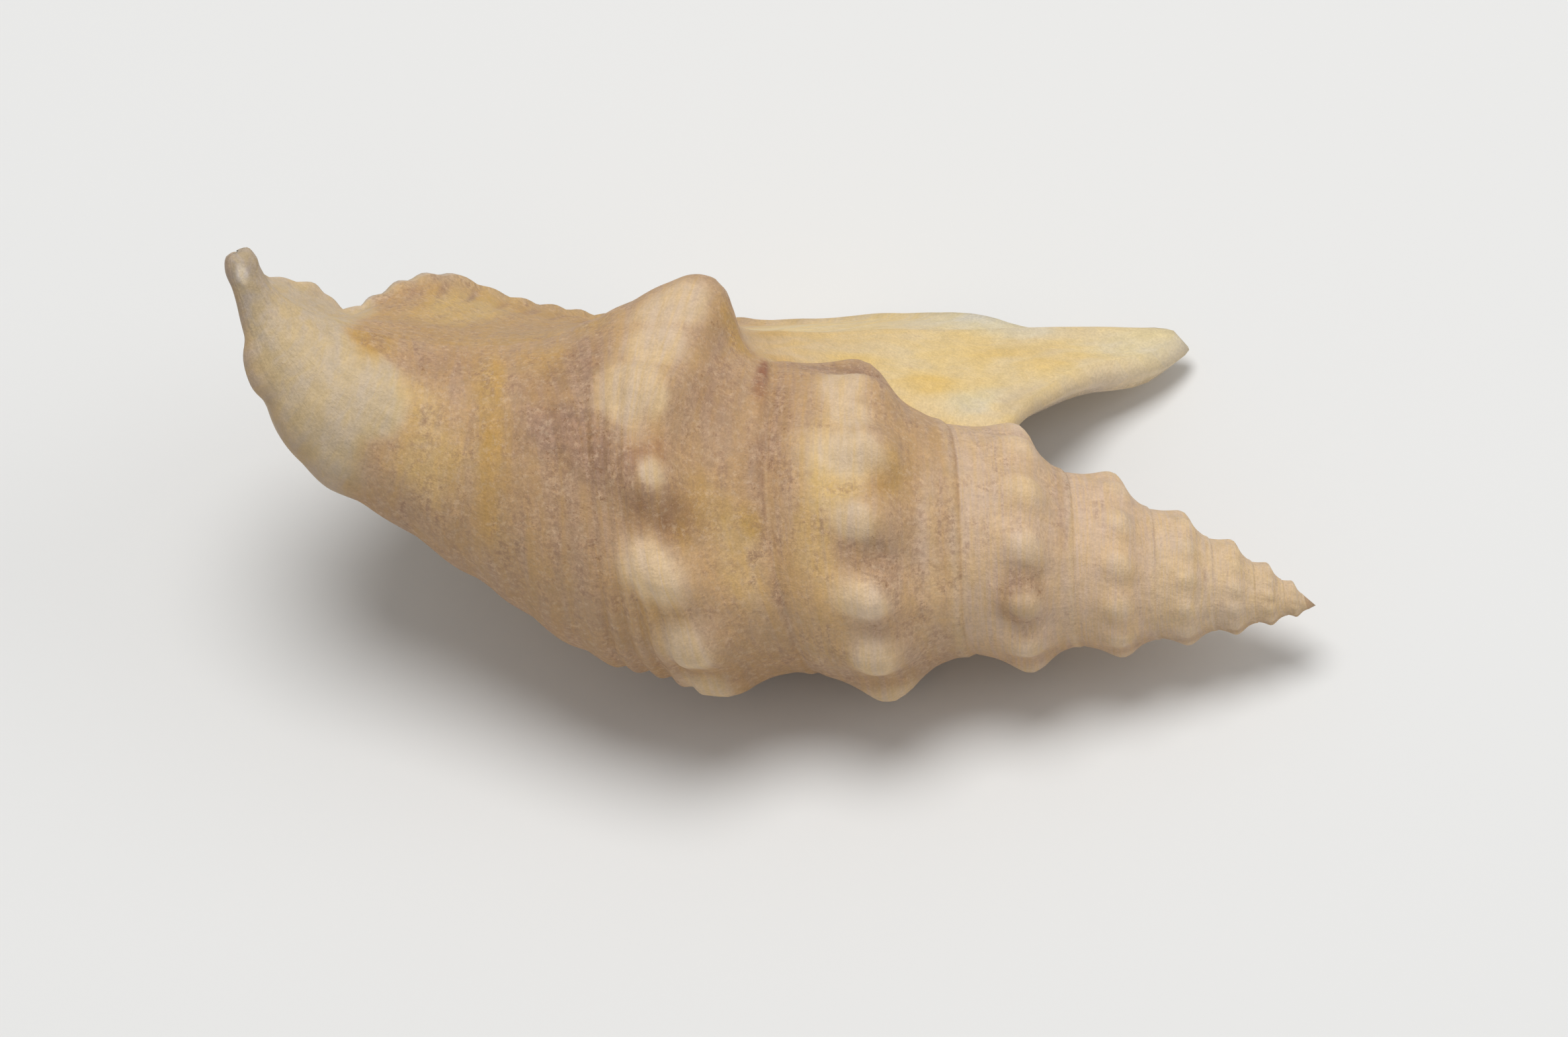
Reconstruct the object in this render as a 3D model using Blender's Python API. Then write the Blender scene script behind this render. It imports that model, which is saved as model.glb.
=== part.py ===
"""A conch shell of the rooster-tail kind, lying on its mouth side.

The shell is one grown piece. Its wall is a helical strip: t counts whorls (0 where the last
whorl crosses the middle of the back) and u runs down the wall, 0 at the suture, 1 at the knobbed
shoulder, 2 at the next suture and 3 at the tip of the siphonal canal. Past the mouth the strip
leaves the spiral and spreads into the wing, whose rear corner is drawn out into a long finger.
An inner strip, one wall thickness inside, lines the mouth and joins the outer one round the lip.

Shell coordinates are millimetres: level from the apex towards the canal, side towards the wing,
back towards the knobbed side. They become metres at the end, with the apex towards +X.
"""

import math

import bmesh
import bpy
import numpy as np
from mathutils import Matrix, Vector

MM = 0.001

# Growth, in millimetres and whorls
SHOULDER_LEVEL, SHOULDER_START = 74.8, 4.6
SUTURE_LEVEL, SUTURE_START = 65.2, 4.9
LEVEL_RATE = 0.333
SHOULDER_RADIUS, RADIUS_START, RADIUS_RATE = 25.5, 4.5, 0.195
SWELL, SWELL_AT, SWELL_WIDTH = 1.6, -1.40, 0.20
SHOULDER_SAG, SHOULDER_SAG_AT, SHOULDER_SAG_WIDTH = 7.0, -0.15, 0.19
MOUTH_SAG_WIDTH = 0.13
MOUTH_RISE, MOUTH_RISE_AT, MOUTH_RISE_WIDTH = 3.0, 0.08, 0.06
EARLY_SAG, EARLY_SAG_AT, EARLY_SAG_WIDTH = 2.4, -1.15, 0.35
SUTURE_SAG, SUTURE_SAG_AT, SUTURE_SAG_WIDTH = 4.0, -0.16, 0.20

# The wall below the shoulder
BASE_REACH = 47.0
SIDE_FULLNESS, LATE_SLIMMING = 0.29, 0.36
CANAL_RADIUS, TIP_RADIUS = 8.7, 1.75
CANAL_TAPER_FROM, CANAL_TAPER_OVER = 105.0, 23.0
COLUMELLA_RADIUS, COLUMELLA_TIP_RADIUS = 3.6, 0.5
TIP_LEVEL = 130.3
BEND_FROM, BEND_RADIUS = 88.7, 38.5

# Knobs
KNOBS_PER_WHORL, KNOB_PHASE = 12, 5.0 / 12.0
KNOB_HEIGHT, LOW_KNOBS = 0.118, 2.0
BIG_KNOB_AT, BIG_KNOB_WIDTH, BIG_KNOB_HEIGHT = 0.045, 0.040, 4.3

# Wall
WALL, FINGER_WALL, TIP_WALL, TIP_EDGE = 2.0, 4.0, 1.4, 0.7
LIP_ROUNDING = 0.45
CORE_SIZE = 1.0

# Rest: degrees about the shell's axis and across it
ROLL, PITCH = -29.0, 11.2

# Grid: rows along t, columns along u
ROWS_PER_TURN = 48
FIRST_ROW = -240
THROAT_ROW = -17
MOUTH_ROW = 2
LIP_STEPS = 14
COLUMNS = (0.0, 0.18, 0.34, 0.44, 0.52, 0.62, 0.78, 1.0, 1.3, 1.62)
BASE_COLUMNS = 13

# The lip: u, then where it is (level, side, back) and the way the wing arrives there
LIP = (
    (0.000, (38.5, 10.6, 6.6), (-14.0, 6.0, -1.0)),
    (0.180, (34.0, 19.5, 10.0), (-20.0, 8.0, 1.0)),
    (0.340, (27.8, 29.0, 11.0), (-34.0, 10.0, 2.0)),
    (0.440, (22.5, 34.3, 11.3), (-44.0, 8.0, 3.0)),
    (0.520, (19.3, 37.6, 11.8), (-50.0, 6.0, 5.0)),
    (0.620, (22.0, 39.4, 11.4), (-46.0, 8.0, 5.0)),
    (0.780, (31.5, 38.6, 9.9), (-36.0, 14.0, 5.0)),
    (1.000, (41.5, 41.0, 9.1), (-18.0, 24.0, 5.0)),
    (1.300, (50.0, 43.8, 6.4), (-8.0, 28.0, 5.0)),
    (1.620, (61.0, 45.0, 3.2), (-3.0, 28.0, 6.0)),
    (2.000, (74.0, 43.2, 1.8), (2.0, 26.0, 7.0)),
    (2.230, (85.0, 38.6, 2.6), (6.0, 22.0, 8.0)),
    (2.385, (94.0, 32.4, 6.3), (8.0, 18.0, 9.0)),
    (2.460, (99.0, 28.2, 9.2), (8.0, 15.0, 10.0)),
    (2.540, (103.5, 22.6, 10.1), (7.0, 12.0, 8.0)),
    (2.615, (107.0, 17.8, 9.5), (5.0, 9.0, 5.0)),
    (2.690, (109.8, 14.8, 8.5), (2.0, 8.0, 3.0)),
    (2.770, (113.0, 13.3, 10.9), (2.0, 8.0, 2.0)),
    (2.850, (117.8, 8.7, 13.4), (1.0, 5.0, -1.0)),
    (2.920, (120.2, 4.5, 17.0), (1.0, 2.0, -1.5)),
    (3.000, (122.3, 2.2, 20.3), (1.5, 0.5, -0.8)),
)


def smooth(x):
    """0 below 0, 1 above 1, and an S between them."""
    x = np.clip(x, 0.0, 1.0)
    return x * x * (3.0 - 2.0 * x)


def bump(t, height, place, width):
    return height * np.exp(-(((t - place) / width) ** 2))


def even_level(t):
    """Level of the shoulder if the shell went on growing evenly."""
    return SHOULDER_LEVEL * np.exp(LEVEL_RATE * t) - SHOULDER_START


def shoulder_level(t):
    """The last whorl drops away from the spire, then climbs back to the lip."""
    early = bump(t, EARLY_SAG, EARLY_SAG_AT, EARLY_SAG_WIDTH)
    width = np.where(t < SHOULDER_SAG_AT, SHOULDER_SAG_WIDTH, MOUTH_SAG_WIDTH)
    late = bump(t, SHOULDER_SAG, SHOULDER_SAG_AT, width)
    rise = bump(t, MOUTH_RISE, MOUTH_RISE_AT, MOUTH_RISE_WIDTH)
    return even_level(t) + early + late - rise


def suture_level(t):
    sag = bump(t, SUTURE_SAG, SUTURE_SAG_AT, SUTURE_SAG_WIDTH)
    return SUTURE_LEVEL * np.exp(LEVEL_RATE * t) - SUTURE_START + sag


def shoulder_radius(t):
    swell = bump(t, SWELL, SWELL_AT, SWELL_WIDTH)
    return SHOULDER_RADIUS * np.exp(RADIUS_RATE * t) - RADIUS_START + swell


def core_radius(t, level):
    """The canal's outside on the last whorl, and the columella on the whorl inside it."""
    taper = 1.0 - smooth((level - CANAL_TAPER_FROM) / CANAL_TAPER_OVER)
    canal = TIP_RADIUS + (CANAL_RADIUS - TIP_RADIUS) * taper
    along = np.clip((level - 70.0) / (TIP_LEVEL - 70.0), 0.0, 1.0)
    columella = COLUMELLA_RADIUS + (COLUMELLA_TIP_RADIUS - COLUMELLA_RADIUS) * along
    outside = smooth((t + 0.80) / 0.32)
    return columella + (canal - columella) * outside


def wall_radius(t, level):
    """Radius below the shoulder, before the knobs."""
    reach = BASE_REACH * np.exp(LEVEL_RATE * t)
    fullness = SIDE_FULLNESS - LATE_SLIMMING * smooth((t + 0.45) / 0.50)
    q = (level - even_level(t)) / reach
    fall = 1.0 - smooth((q - fullness) / (1.0 - fullness))
    core = core_radius(t, level)
    return core + (shoulder_radius(t) - core) * fall


def knobs(t, level):
    """Height of the shoulder knobs above the wall."""
    radius = shoulder_radius(t)
    off = level - shoulder_level(t) - LOW_KNOBS * smooth((t + 0.33) / 0.2)
    spread = np.where(off < 0.0, 0.18, 0.36) * radius
    bell = np.exp(-((off / spread) ** 2))
    pulse = 0.5 + 0.5 * np.cos(2 * math.pi * KNOBS_PER_WHORL * (t + KNOB_PHASE))
    fade = 1.0 - smooth((t + 0.065) / 0.05)
    late = 1.0 - 0.15 * smooth((t + 1.0) / 0.4) - 0.4 * smooth((-t - 2.6) / 1.0)
    return KNOB_HEIGHT * radius * pulse * bell * fade * late


def big_knob(t, level):
    """The largest knob, on the back just before the wing."""
    off = level - shoulder_level(t) - 1.6
    spread = np.where(off < 0.0, 4.2, 7.2)
    return bump(t, BIG_KNOB_HEIGHT, BIG_KNOB_AT, BIG_KNOB_WIDTH) * np.exp(-np.abs(off / spread) ** 3)


def ramp_rise(v):
    """The concave shelf from the suture (0) out to the shoulder (1)."""
    return 0.22 * (1.0 - (1.0 - v) ** 6) + 0.78 * v**2.4


def spiral(t, u):
    """Point of the outer wall on the spiral, as (level, side, back)."""
    t, u = np.broadcast_arrays(np.asarray(t, float), np.asarray(u, float))
    top, keel, low = suture_level(t), shoulder_level(t), suture_level(t + 1.0)
    v = np.clip(u, 0.0, 1.0)
    level = top + (keel - top) * v
    level = level + (low - keel) * np.clip(u - 1.0, 0.0, 1.0)
    level = level + (TIP_LEVEL - low) * np.clip(u - 2.0, 0.0, 1.0)
    inner = wall_radius(t - 1.0, top)
    ramp = inner + (wall_radius(t, keel) - inner) * ramp_rise(v)
    radius = np.where(u < 1.0, ramp, wall_radius(t, level))
    smooth_side = 1.0 - smooth((u - 1.0) / 1.0)
    radius = radius + knobs(t, level) * np.where(u < 1.0, v, smooth_side)
    radius = radius + big_knob(t, level) * np.where(u < 1.0, smooth(1.6 * v), smooth_side)
    return around(t, level, radius)


def around(t, level, radius):
    """Point at that level and radius, with the canal end of the axis bent towards the back."""
    angle = math.pi / 2 - 2 * math.pi * t
    bend = np.clip((level - BEND_FROM) / BEND_RADIUS, 0.0, None)
    axis_level = np.where(level > BEND_FROM, BEND_FROM + BEND_RADIUS * np.sin(bend), level)
    axis_back = BEND_RADIUS * (1.0 - np.cos(bend))
    out_side, out_back = radius * np.cos(angle), radius * np.sin(angle)
    return np.stack(
        [axis_level - out_back * np.sin(bend), out_side, axis_back + out_back * np.cos(bend)], -1
    )


def through(u):
    """The lip's place and arrival at u: a smooth curve through the points of LIP."""
    knots = np.array([row[0] for row in LIP])
    rows = np.array([[*row[1], *row[2]] for row in LIP])
    slopes = np.gradient(rows, knots, axis=0)
    k = np.clip(np.searchsorted(knots, u, side="right") - 1, 0, len(knots) - 2)
    gap = knots[k + 1] - knots[k]
    s = ((u - knots[k]) / gap)[:, None]
    gap = gap[:, None]
    value = (
        (2 * s**3 - 3 * s**2 + 1) * rows[k]
        + (s**3 - 2 * s**2 + s) * gap * slopes[k]
        + (3 * s**2 - 2 * s**3) * rows[k + 1]
        + (s**3 - s**2) * gap * slopes[k + 1]
    )
    return value[:, :3], value[:, 3:]


def wing(w, u):
    """Outer face past the mouth: w is 0 at the mouth and 1 at the lip, one row of u for each."""
    mouth = MOUTH_ROW / ROWS_PER_TURN
    late = smooth((u - 0.5) / 1.0)
    last = smooth((u - 2.5) / 0.4)
    early = smooth((u - 1.7) / 0.4) * (1.0 - smooth((u - 2.5) / 0.25))
    leave = mouth + 0.02 + 0.10 * late * (1.0 - 0.8 * early)
    share = 0.15 + 0.20 * late + 0.15 * last
    start = spiral(leave, u)
    step = 0.001
    way = spiral(leave + step, u) - spiral(leave - step, u)
    way = way / np.linalg.norm(way, axis=-1, keepdims=True)
    end, arrive = through(u)
    apart = np.linalg.norm(end - start, axis=-1, keepdims=True)
    pull = way * apart * (0.75 - 0.15 * smooth((u - 0.4) / 0.8))[:, None]
    rows = []
    for value in w:
        on = spiral(mouth + (leave - mouth) * value / share, u)
        s = np.clip((value - share) / (1.0 - share), 0.0, 1.0)[:, None]
        off = (2 * s**3 - 3 * s**2 + 1) * start + (s**3 - 2 * s**2 + s) * pull
        off = off + (3 * s**2 - 2 * s**3) * end + (s**3 - s**2) * arrive
        rows.append(np.where((value < share)[:, None], on, off))
    return np.array(rows)


def wall_depth(w, u, level):
    """Wall thickness: fuller in the finger, thin at the canal's tip."""
    finger = np.exp(-(((u - 0.5) / 0.34) ** 2)) * smooth(w / 0.8)
    thin = smooth((level - 96.0) / 24.0)
    edge = smooth((u - 2.6) / 0.3) * smooth(w / 0.5)
    depth = WALL + (FINGER_WALL - WALL) * finger + (TIP_WALL - WALL) * thin
    return depth + (TIP_EDGE - TIP_WALL) * edge


def sheet():
    """Outer points and outward directions, row by row, from the first row to the lip."""
    u = np.concatenate([COLUMNS, np.linspace(2.0, 3.0, BASE_COLUMNS + 1)])
    t = np.arange(FIRST_ROW, MOUTH_ROW + 1) / ROWS_PER_TURN
    w = np.arange(1, LIP_STEPS + 1) / LIP_STEPS
    outer = np.concatenate([spiral(t[:, None], u[None, :]), wing(w, u)])
    along = np.gradient(outer, axis=0)
    down = np.gradient(outer, axis=1)
    out = np.cross(down, along)
    length = np.linalg.norm(out, axis=-1, keepdims=True)
    return u, w, outer, out / np.maximum(length, 1e-9)


class Grid:
    """Vertices and faces of the shell as they are laid down."""

    def __init__(self, outer, inner):
        self.points = []
        self.faces = []
        self.outer = outer
        self.inner = inner
        self.seen = {}

    def add(self, key, point):
        if key not in self.seen:
            self.seen[key] = len(self.points)
            self.points.append(point)
        return self.seen[key]

    def out(self, i, j):
        """Outer vertex. Up to the mouth, column 0 is the suture on the whorl before."""
        if j == 0 and FIRST_ROW + ROWS_PER_TURN <= i <= MOUTH_ROW:
            i, j = i - ROWS_PER_TURN, len(COLUMNS)
        return self.add(("outer", i, j), self.outer[i - FIRST_ROW, j])

    def back(self, i, j):
        """Inner vertex. Up to the mouth, column 0 lies on the whorl before."""
        if j == 0 and i <= MOUTH_ROW:
            return self.out(i - ROWS_PER_TURN, len(COLUMNS) + 1)
        return self.add(("inner", i, j), self.inner[i - FIRST_ROW, j])

    def quad(self, a, b, c, d):
        corners = list(dict.fromkeys((a, b, c, d)))
        if len(corners) > 2:
            self.faces.append(corners)

    def fan(self, loop, point):
        centre = len(self.points)
        self.points.append(point)
        for a, b in zip(loop, loop[1:] + loop[:1]):
            self.faces.append([a, b, centre])


def lay_shell():
    """All faces of the closed shell."""
    u, w, outer, out = sheet()
    last = MOUTH_ROW + LIP_STEPS
    inward = np.concatenate([np.zeros(MOUTH_ROW + 1 - FIRST_ROW), w])
    depth = wall_depth(inward[:, None], u[None, :], outer[..., 0])
    inner = outer - out * depth[..., None]
    grid = Grid(outer, inner)
    side, end = len(COLUMNS), len(u) - 1
    full = THROAT_ROW - ROWS_PER_TURN

    for i in range(FIRST_ROW, last):
        columns = end if i >= full else side
        for j in range(columns):
            hidden = j == side and i < MOUTH_ROW - ROWS_PER_TURN
            if not hidden:
                grid.quad(grid.out(i, j), grid.out(i + 1, j), grid.out(i + 1, j + 1),
                          grid.out(i, j + 1))

    for i in range(THROAT_ROW, last):
        for j in range(end):
            grid.quad(grid.back(i, j + 1), grid.back(i + 1, j + 1), grid.back(i + 1, j),
                      grid.back(i, j))
        grid.quad(grid.out(i, end), grid.out(i + 1, end), grid.back(i + 1, end),
                  grid.back(i, end))

    for i in range(MOUTH_ROW, last):
        grid.quad(grid.back(i, 0), grid.back(i + 1, 0), grid.out(i + 1, 0), grid.out(i, 0))

    lay_lip(grid, last, end)
    lay_throat(grid, side, end)
    lay_ends(grid, side, end)
    return grid


def lay_lip(grid, last, end):
    """The rounded edge of the mouth, from the spire to the canal's tip."""
    row = last - FIRST_ROW
    front = grid.outer[row] - grid.outer[row - 1]
    front = front / np.linalg.norm(front, axis=-1, keepdims=True)
    middle = (grid.outer[row] + grid.inner[row]) / 2
    thick = np.linalg.norm(grid.outer[row] - grid.inner[row], axis=-1, keepdims=True)
    middle = middle + front * thick * LIP_ROUNDING
    rim = [grid.add(("rim", j), middle[j]) for j in range(end + 1)]
    for j in range(end):
        grid.quad(grid.out(last, j), rim[j], rim[j + 1], grid.out(last, j + 1))
        grid.quad(rim[j], grid.back(last, j), grid.back(last, j + 1), rim[j + 1])
    grid.faces.append([grid.out(last, 0), grid.back(last, 0), rim[0]])
    grid.faces.append([grid.out(last, end), rim[end], grid.back(last, end)])


def lay_throat(grid, side, end):
    """The cross wall deep in the mouth where the hollow stops."""
    before = THROAT_ROW - ROWS_PER_TURN
    near = [grid.out(before, j) for j in range(side + 1, end + 1)]
    far = [grid.back(THROAT_ROW, j) for j in range(1, end + 1)]
    a, b = 0, 0
    while a < len(near) - 1 or b < len(far) - 1:
        if b >= len(far) - 1 or (a + 1) * (len(far) - 1) <= (b + 1) * (len(near) - 1):
            if a < len(near) - 1:
                grid.faces.append([near[a], near[a + 1], far[b]])
                a += 1
                continue
        grid.faces.append([near[a], far[b + 1], far[b]])
        b += 1


def lay_ends(grid, side, end):
    """Close the apex above the first whorl and the solid column at the canal's tip."""
    apex = grid.add("apex", np.array([0.0, 0.0, 0.0]))
    top = [grid.out(FIRST_ROW + k, 0) for k in range(ROWS_PER_TURN + 1)]
    for a, b in zip(top, top[1:]):
        grid.faces.append([b, a, apex])
    grid.faces.append([apex] + [grid.out(FIRST_ROW, j) for j in range(side + 1)])
    before = THROAT_ROW - ROWS_PER_TURN
    tip = [grid.out(i, end) for i in range(before, THROAT_ROW + 1)]
    tip.append(grid.back(THROAT_ROW, end))
    centre = np.mean([grid.points[k] for k in tip], axis=0)
    grid.fan(tip, centre)


def settle(points):
    """World points in metres: canal end to the rear, rolled and pitched onto the mouth side."""
    place = Matrix.Rotation(math.radians(PITCH), 3, "Y") @ Matrix.Rotation(math.radians(ROLL), 3, "X")
    turned = [place @ Vector((-p[0], p[1], p[2])) * MM for p in points]
    low = [min(p[k] for p in turned) for k in range(3)]
    high = [max(p[k] for p in turned) for k in range(3)]
    shift = Vector(((low[0] + high[0]) / 2, (low[1] + high[1]) / 2, low[2]))
    return [p - shift for p in turned]


def shell_material():
    material = bpy.data.materials.new("shell")
    material.use_nodes = True
    bsdf = material.node_tree.nodes["Principled BSDF"]
    bsdf.inputs["Base Color"].default_value = (0.62, 0.47, 0.33, 1.0)
    bsdf.inputs["Roughness"].default_value = 0.55
    return material


def build():
    for item in list(bpy.data.objects):
        bpy.data.objects.remove(item, do_unlink=True)
    grid = lay_shell()
    first = grid.out(-96, 1)
    second = grid.out(-72, 1)
    mesh = bpy.data.meshes.new("shell")
    mesh.from_pydata(settle(grid.points), [], grid.faces)
    work = bmesh.new()
    work.from_mesh(mesh)
    bmesh.ops.triangulate(work, faces=work.faces)
    work.to_mesh(mesh)
    work.free()
    mesh.polygons.foreach_set("use_smooth", [True] * len(mesh.polygons))
    mesh.materials.append(shell_material())
    shell = bpy.data.objects.new("shell", mesh)
    bpy.context.collection.objects.link(shell)
    core = bpy.data.objects.new("core", bpy.data.meshes.new("core"))
    bpy.context.collection.objects.link(core)
    work = bmesh.new()
    bmesh.ops.create_cube(work, size=CORE_SIZE * MM)
    centre = (shell.data.vertices[first].co + shell.data.vertices[second].co) / 2
    bmesh.ops.translate(work, verts=work.verts, vec=centre)
    work.to_mesh(core.data)
    work.free()
    core.hide_render = True
    core.display_type = "WIRE"
    union = shell.modifiers.new("one body", "BOOLEAN")
    union.operation = "UNION"
    union.solver = "EXACT"
    union.use_self = True
    union.object = core


build()
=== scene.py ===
"""A rooster-tail conch on a pale table, seen from above its knobbed back.

The shell shown is one closed mesh, grown by the same laws as the CAD solid that it replaces but
on a finer grid, with the cords, growth lines, scalloped lip, worn canal tip and colours that the
solid leaves out. Growth coordinates: t counts whorls (0 on the middle of the back), u runs down
the wall (0 suture, 1 shoulder, 2 next suture, 3 canal tip), and past the mouth w runs 0 to 1
across the wing to the lip. Places and widths given to rise, fall, bell and bump are in these.
Shell coordinates are millimetres: level from the apex towards the canal, side towards the wing,
back towards the knobbed side.
"""

import math

import bpy
import numpy as np
from mathutils import Matrix, Vector


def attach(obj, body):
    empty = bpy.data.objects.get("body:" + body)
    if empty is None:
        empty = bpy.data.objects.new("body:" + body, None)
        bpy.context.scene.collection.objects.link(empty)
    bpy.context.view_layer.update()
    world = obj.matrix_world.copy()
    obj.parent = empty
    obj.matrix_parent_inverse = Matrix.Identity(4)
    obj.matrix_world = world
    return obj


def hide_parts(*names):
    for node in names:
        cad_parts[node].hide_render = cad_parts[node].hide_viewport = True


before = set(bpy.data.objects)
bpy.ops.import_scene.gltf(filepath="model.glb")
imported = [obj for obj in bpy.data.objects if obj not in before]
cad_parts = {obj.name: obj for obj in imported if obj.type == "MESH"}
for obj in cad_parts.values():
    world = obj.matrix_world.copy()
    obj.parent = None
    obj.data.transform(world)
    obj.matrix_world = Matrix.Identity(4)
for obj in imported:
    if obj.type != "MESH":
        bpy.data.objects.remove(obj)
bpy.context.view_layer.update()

MM = 0.001
TINY = 1e-9
LEVEL_WAY = np.array([1.0, 0.0, 0.0])

# Growth, in millimetres and whorls
SHOULDER_LEVEL, SHOULDER_START = 74.8, 4.6
SUTURE_LEVEL, SUTURE_START = 65.2, 4.9
LEVEL_RATE = 0.333
SHOULDER_RADIUS, RADIUS_START, RADIUS_RATE = 25.5, 4.5, 0.195
SWELL, SWELL_AT, SWELL_WIDTH = 1.6, -1.40, 0.20
SHOULDER_SAG, SHOULDER_SAG_AT, SHOULDER_SAG_WIDTH = 7.0, -0.15, 0.19
MOUTH_SAG_WIDTH = 0.13
MOUTH_RISE, MOUTH_RISE_AT, MOUTH_RISE_WIDTH = 3.0, 0.08, 0.06
EARLY_SAG, EARLY_SAG_AT, EARLY_SAG_WIDTH = 2.4, -1.15, 0.35
SUTURE_SAG, SUTURE_SAG_AT, SUTURE_SAG_WIDTH = 4.0, -0.16, 0.20

# The wall below the shoulder
BASE_REACH = 47.0
SIDE_FULLNESS, LATE_SLIMMING = 0.29, 0.36
CANAL_RADIUS, TIP_RADIUS = 8.7, 1.75
CANAL_TAPER_FROM, CANAL_TAPER_OVER = 105.0, 23.0
COLUMELLA_RADIUS, COLUMELLA_TIP_RADIUS, COLUMELLA_FROM = 3.6, 0.5, 70.0
TIP_LEVEL = 130.3
BEND_FROM, BEND_RADIUS = 88.7, 38.5

# Knobs
KNOBS_PER_WHORL, KNOB_PHASE = 12, 5.0 / 12.0
KNOB_HEIGHT, LOW_KNOBS = 0.118, 2.0
KNOB_ABOVE, KNOB_BELOW = 0.18, 0.36
BIG_KNOB_AT, BIG_KNOB_WIDTH, BIG_KNOB_HEIGHT = 0.045, 0.040, 4.3
BIG_KNOB_DROP, BIG_KNOB_ABOVE, BIG_KNOB_BELOW = 1.6, 4.2, 7.2

# Wall
WALL, FINGER_WALL, TIP_WALL, TIP_EDGE = 2.0, 4.0, 1.4, 0.7
LIP_ROUNDING = 0.45

# Rest: degrees about the shell's axis and across it, as the solid lies
ROLL, PITCH = -29.0, 11.2

# Mesh grid: rows along t; few columns on the spire, many on the last whorl and the wing
ROWS_PER_TURN = 144
FIRST_ROW = -1110
THROAT_ROW = -51
MOUTH_ROW = 6
LIP_STEPS = 38
FULL_ROW = THROAT_ROW - ROWS_PER_TURN
SPIRE_RAMP, SPIRE_SIDE, SUTURE_CROWDING = 13, 14, 1.25
RAMP_COLUMNS = 32
SIDE_CORDS, COLUMNS_PER_SIDE_CORD = 5, 10
BASE_CORDS, BASE_COLUMNS, TIP_CROWDING = 9, 112, 1.15

# The side's last column on the spire and on the last whorl, then the last column and row of all
SIDE_SPIRE = SPIRE_RAMP + SPIRE_SIDE
SIDE_FULL = RAMP_COLUMNS + SIDE_CORDS * COLUMNS_PER_SIDE_CORD
END_FULL = SIDE_FULL + BASE_COLUMNS
LAST_ROW = MOUTH_ROW + LIP_STEPS

# Relief, in millimetres
CORD_HEIGHT, LIP_CORD_HEIGHT, SCALLOP = 0.34, 0.13, 0.16
GROWTH_LINE_HEIGHT, AGE_PER_WHORL, AGE_OF_WING = 0.07, 140.0, 45.0
DENT_HEIGHT = 0.22
COLLAR_HEIGHT = 0.15
LOBE_HEIGHT = 0.95
TIP_ROUND_FROM, TIP_HOLE = 2.955, 0.35
TIP_SHIFT, TIP_SHIFT_FROM = 0.5, 2.80
TIP_BREAKS, BREAK_WAY = 0.35, np.array([-0.2, 0.3, 0.9])
SHOULDER_ROUNDING = 0.16
EDGE_WAVER = 0.25

# Rounds of smoothing: the lip's lower half, then the whole wing, and the inner face of the finger
RELAX_STEPS, SMOOTH_STEPS, INNER_STEPS = 700, 90, 250

# The growth map: what the ramp and the side take down it and the wing along it, where the base
# and a whorl take 1
RAMP_SHARE, SIDE_SHARE, WING_SHARE = 0.2, 0.5, 0.6

# The view: degrees that the camera leans over the back and turns, then millimetres. The apex is
# that far right of the middle of the frame and below it.
CAMERA_LEAN, CAMERA_TURN = 25.0, 9.45
FRAME_WIDTH, LENS, SENSOR = 171.2, 500.0, 36.0
APEX_RIGHT, APEX_BELOW = 57.9, 9.46

# The middle of the shell, in metres
AIM = (0.0, 0.0, 0.02)

# Scrambling factors of the noise
SCRAMBLE_CELL = (73856093, 19349663, 83492791)
SCRAMBLE_SEED, SCRAMBLE_ONE, SCRAMBLE_TWO = 2654435761, 2246822519, 3266489917
ALL_BITS = 0xFFFFFFFF

# The lip: u, then where it is (level, side, back) and the way the wing arrives there
LIP = (
    (0.000, (38.5, 10.6, 6.6), (-14.0, 6.0, -1.0)),
    (0.180, (34.0, 19.5, 10.0), (-20.0, 8.0, 1.0)),
    (0.340, (27.8, 29.0, 11.0), (-34.0, 10.0, 2.0)),
    (0.440, (21.6, 34.0, 11.3), (-44.0, 8.0, 3.0)),
    (0.500, (19.8, 36.2, 11.9), (-50.0, 6.0, 5.0)),
    (0.560, (19.6, 38.2, 12.4), (-50.0, 6.0, 5.0)),
    (0.620, (21.6, 39.3, 12.0), (-46.0, 8.0, 5.0)),
    (0.780, (31.5, 38.4, 9.9), (-36.0, 14.0, 5.0)),
    (1.000, (41.5, 41.0, 9.1), (-18.0, 24.0, 5.0)),
    (1.300, (50.0, 43.8, 6.4), (-8.0, 28.0, 5.0)),
    (1.620, (61.0, 45.0, 3.2), (-3.0, 28.0, 6.0)),
    (2.000, (74.0, 43.2, 1.8), (2.0, 26.0, 7.0)),
    (2.230, (85.0, 38.6, 2.6), (6.0, 22.0, 8.0)),
    (2.385, (94.0, 32.4, 6.3), (8.0, 18.0, 9.0)),
    (2.460, (99.0, 28.2, 9.2), (8.0, 15.0, 10.0)),
    (2.540, (103.5, 22.6, 10.1), (7.0, 12.0, 8.0)),
    (2.615, (107.0, 17.8, 9.5), (5.0, 9.0, 5.0)),
    (2.690, (109.8, 14.8, 9.1), (2.0, 8.0, 3.0)),
    (2.770, (113.3, 13.3, 12.0), (2.0, 8.0, 2.0)),
    (2.850, (117.9, 8.7, 14.4), (1.0, 5.0, -1.0)),
    (2.920, (120.2, 4.5, 17.0), (1.0, 2.0, -1.5)),
    (3.000, (122.3, 2.2, 20.3), (1.5, 0.5, -0.8)),
)

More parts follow.
